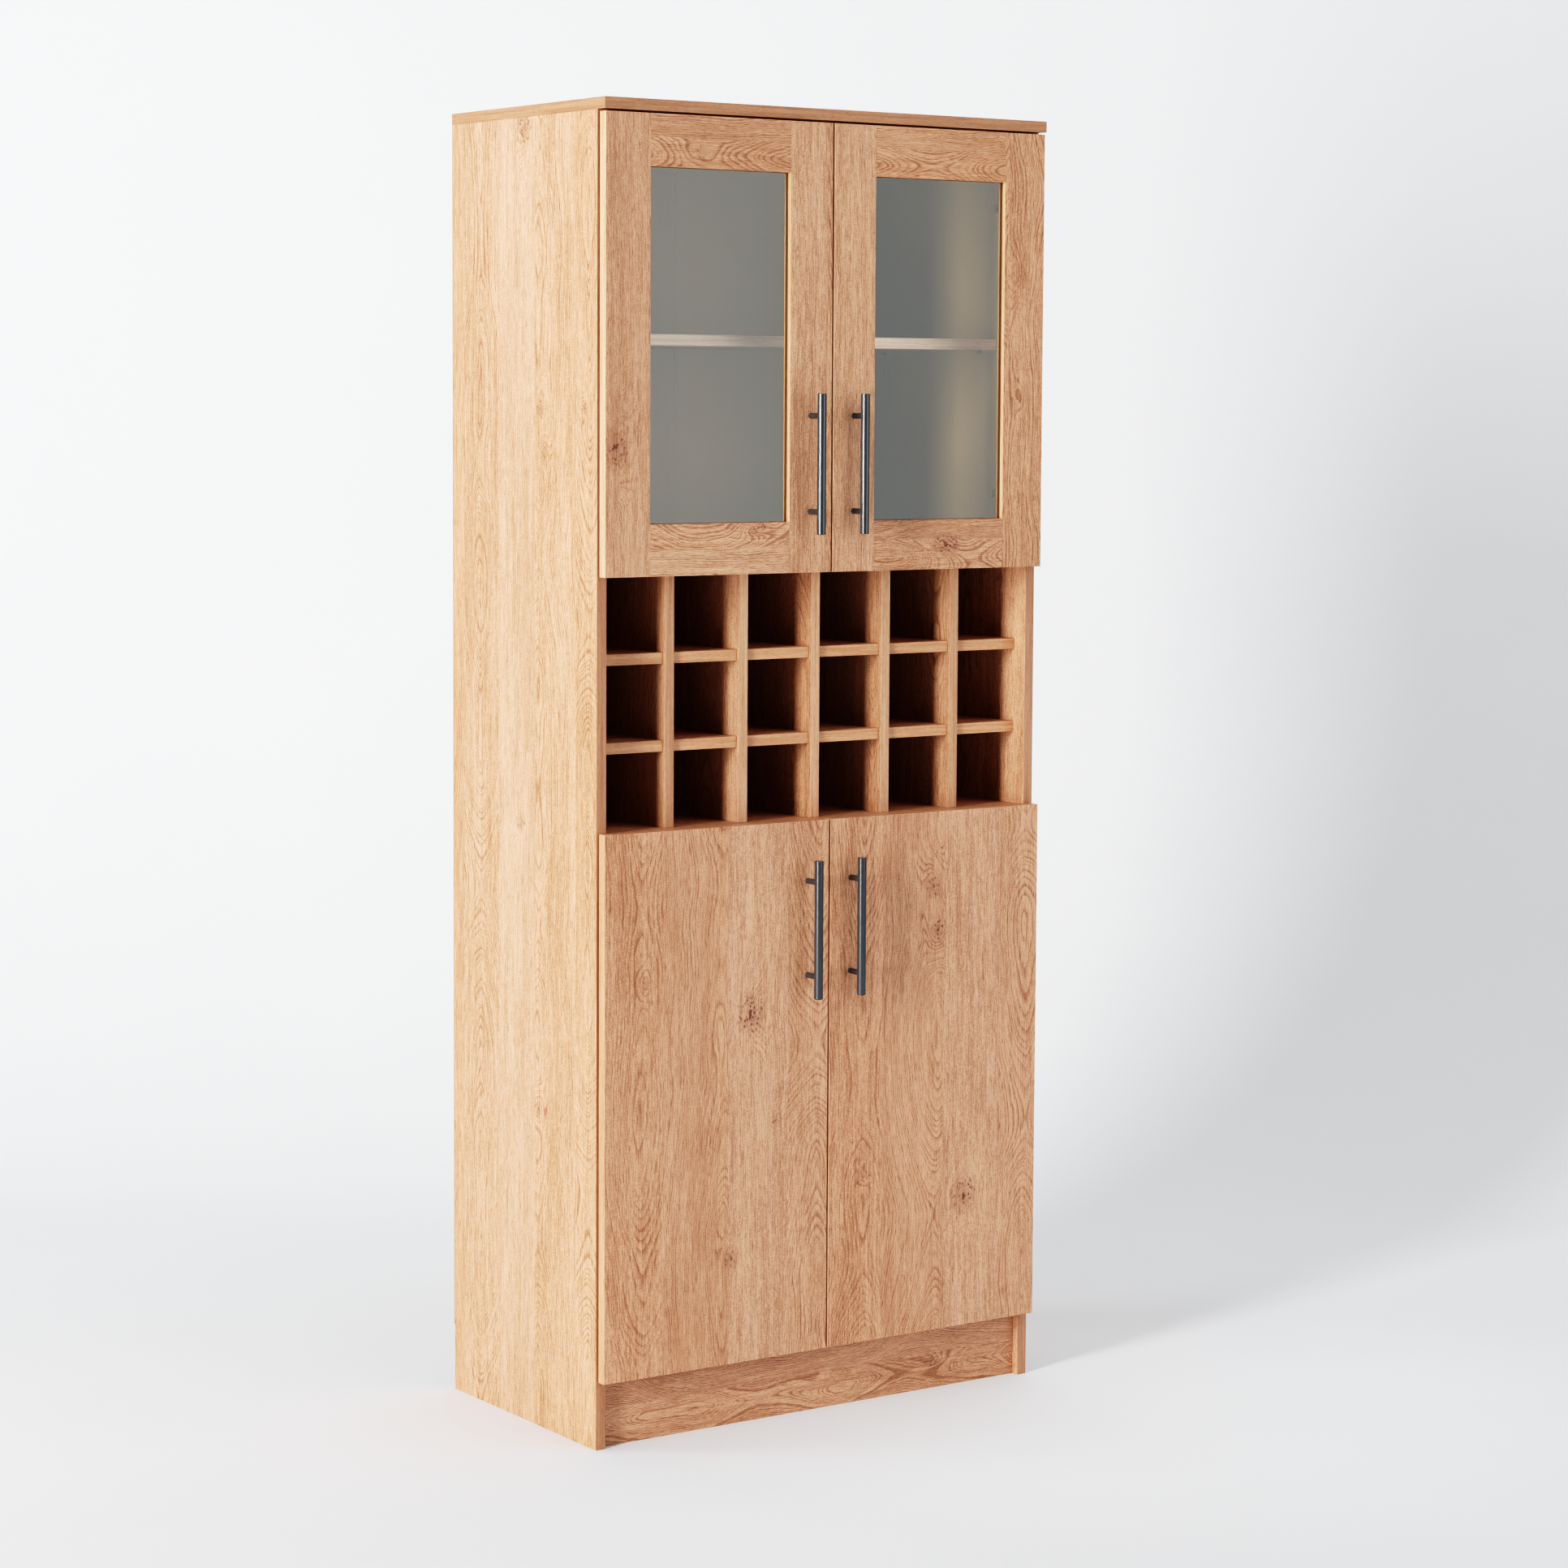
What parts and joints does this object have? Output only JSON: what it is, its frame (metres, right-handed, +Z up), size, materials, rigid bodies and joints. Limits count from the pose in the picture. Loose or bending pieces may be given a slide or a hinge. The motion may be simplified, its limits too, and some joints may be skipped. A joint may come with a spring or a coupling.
{
  "type": "bar cabinet",
  "caption": "Tall oak-look bar cabinet with framed glass doors above, an open bottle rack in the middle and plain doors below, with dark bar handles.",
  "frame": {"origin": "centre of the overall footprint, handles included, at floor level", "axes": "+X to the cabinet's right when looking at its doors, +Y to the back, +Z up; the doors and handles face -Y"},
  "size_m": [0.72, 0.427, 1.77],
  "materials": {
    "oak_board": "light oak grain melamine, satin",
    "back_board": "thin hardboard with an oak print",
    "clear_glass": "clear, polished",
    "seal_rubber": "matte dark brown",
    "handle_metal": "satin gunmetal",
    "fitting_steel": "bright nickel plate",
    "screw_steel": "zinc plate",
    "dowel_beech": "plain beech",
    "bumper_plastic": "clear soft plastic"
  },
  "bodies": {
    "carcass": {"left_side_panel": "oak_board", "right_side_panel": "oak_board", "top_panel": "oak_board", "upper_cabinet_floor": "oak_board", "rack_floor_board": "oak_board", "bottom_board": "oak_board", "plinth_board": "oak_board", "back_panel_left": "back_board", "back_panel_right": "back_board", "upper_shelf": "oak_board", "lower_shelf": "oak_board", "shelf_pins": "fitting_steel", "rack_divider_1": "oak_board", "rack_divider_2": "oak_board", "rack_divider_3": "oak_board", "rack_divider_4": "oak_board", "rack_divider_5": "oak_board", "rack_shelf_lower": "oak_board", "rack_shelf_upper": "oak_board", "cam_locks": "fitting_steel", "cam_bolts": "fitting_steel", "wood_dowels": "dowel_beech", "back_panel_screws": "screw_steel", "hinge_mounting_plates": "fitting_steel", "hinge_plate_screws": "screw_steel", "hinge_arms": "fitting_steel", "door_bumpers": "bumper_plastic"},
    "upper_left_door": {"upper_left_hinge_stile": "oak_board", "upper_left_meeting_stile": "oak_board", "upper_left_top_rail": "oak_board", "upper_left_bottom_rail": "oak_board", "upper_left_glass": "clear_glass", "upper_left_glazing_seal": "seal_rubber", "upper_left_handle": "handle_metal", "upper_left_handle_screws": "screw_steel", "upper_left_hinge_cups": "fitting_steel"},
    "upper_left_links": {"upper_left_hinge_links": "fitting_steel"},
    "upper_right_door": {"upper_right_hinge_stile": "oak_board", "upper_right_meeting_stile": "oak_board", "upper_right_top_rail": "oak_board", "upper_right_bottom_rail": "oak_board", "upper_right_glass": "clear_glass", "upper_right_glazing_seal": "seal_rubber", "upper_right_handle": "handle_metal", "upper_right_handle_screws": "screw_steel", "upper_right_hinge_cups": "fitting_steel"},
    "upper_right_links": {"upper_right_hinge_links": "fitting_steel"},
    "lower_left_door": {"lower_left_door_panel": "oak_board", "lower_left_handle": "handle_metal", "lower_left_handle_screws": "screw_steel", "lower_left_hinge_cups": "fitting_steel"},
    "lower_left_links": {"lower_left_hinge_links": "fitting_steel"},
    "lower_right_door": {"lower_right_door_panel": "oak_board", "lower_right_handle": "handle_metal", "lower_right_handle_screws": "screw_steel", "lower_right_hinge_cups": "fitting_steel"},
    "lower_right_links": {"lower_right_hinge_links": "fitting_steel"}
  },
  "joints": [
    {"name": "upper_left_link_pivot", "type": "hinge", "parent": "carcass", "child": "upper_left_links", "pos_m": [-0.3265, -0.1685, 1.45], "axis": [0, 0, 1], "range_deg": [0, 36]},
    {"name": "upper_left_door_hinge", "type": "hinge", "parent": "upper_left_links", "child": "upper_left_door", "pos_m": [-0.3479, -0.1689, 1.45], "axis": [0, 0, -1], "range_deg": [0, 136]},
    {"name": "upper_right_link_pivot", "type": "hinge", "parent": "carcass", "child": "upper_right_links", "pos_m": [0.3265, -0.1685, 1.45], "axis": [0, 0, -1], "range_deg": [0, 36]},
    {"name": "upper_right_door_hinge", "type": "hinge", "parent": "upper_right_links", "child": "upper_right_door", "pos_m": [0.3479, -0.1689, 1.45], "axis": [0, 0, 1], "range_deg": [0, 136]},
    {"name": "lower_left_link_pivot", "type": "hinge", "parent": "carcass", "child": "lower_left_links", "pos_m": [-0.3265, -0.1685, 0.455], "axis": [0, 0, 1], "range_deg": [0, 36]},
    {"name": "lower_left_door_hinge", "type": "hinge", "parent": "lower_left_links", "child": "lower_left_door", "pos_m": [-0.3479, -0.1689, 0.455], "axis": [0, 0, -1], "range_deg": [0, 136]},
    {"name": "lower_right_link_pivot", "type": "hinge", "parent": "carcass", "child": "lower_right_links", "pos_m": [0.3265, -0.1685, 0.455], "axis": [0, 0, -1], "range_deg": [0, 36]},
    {"name": "lower_right_door_hinge", "type": "hinge", "parent": "lower_right_links", "child": "lower_right_door", "pos_m": [0.3479, -0.1689, 0.455], "axis": [0, 0, 1], "range_deg": [0, 136]}
  ],
  "couplings": [
    {"joint": "upper_left_link_pivot", "follows": "upper_left_door_hinge", "ratio": 0.26471},
    {"joint": "upper_right_link_pivot", "follows": "upper_right_door_hinge", "ratio": 0.26471},
    {"joint": "lower_left_link_pivot", "follows": "lower_left_door_hinge", "ratio": 0.26471},
    {"joint": "lower_right_link_pivot", "follows": "lower_right_door_hinge", "ratio": 0.26471}
  ]
}
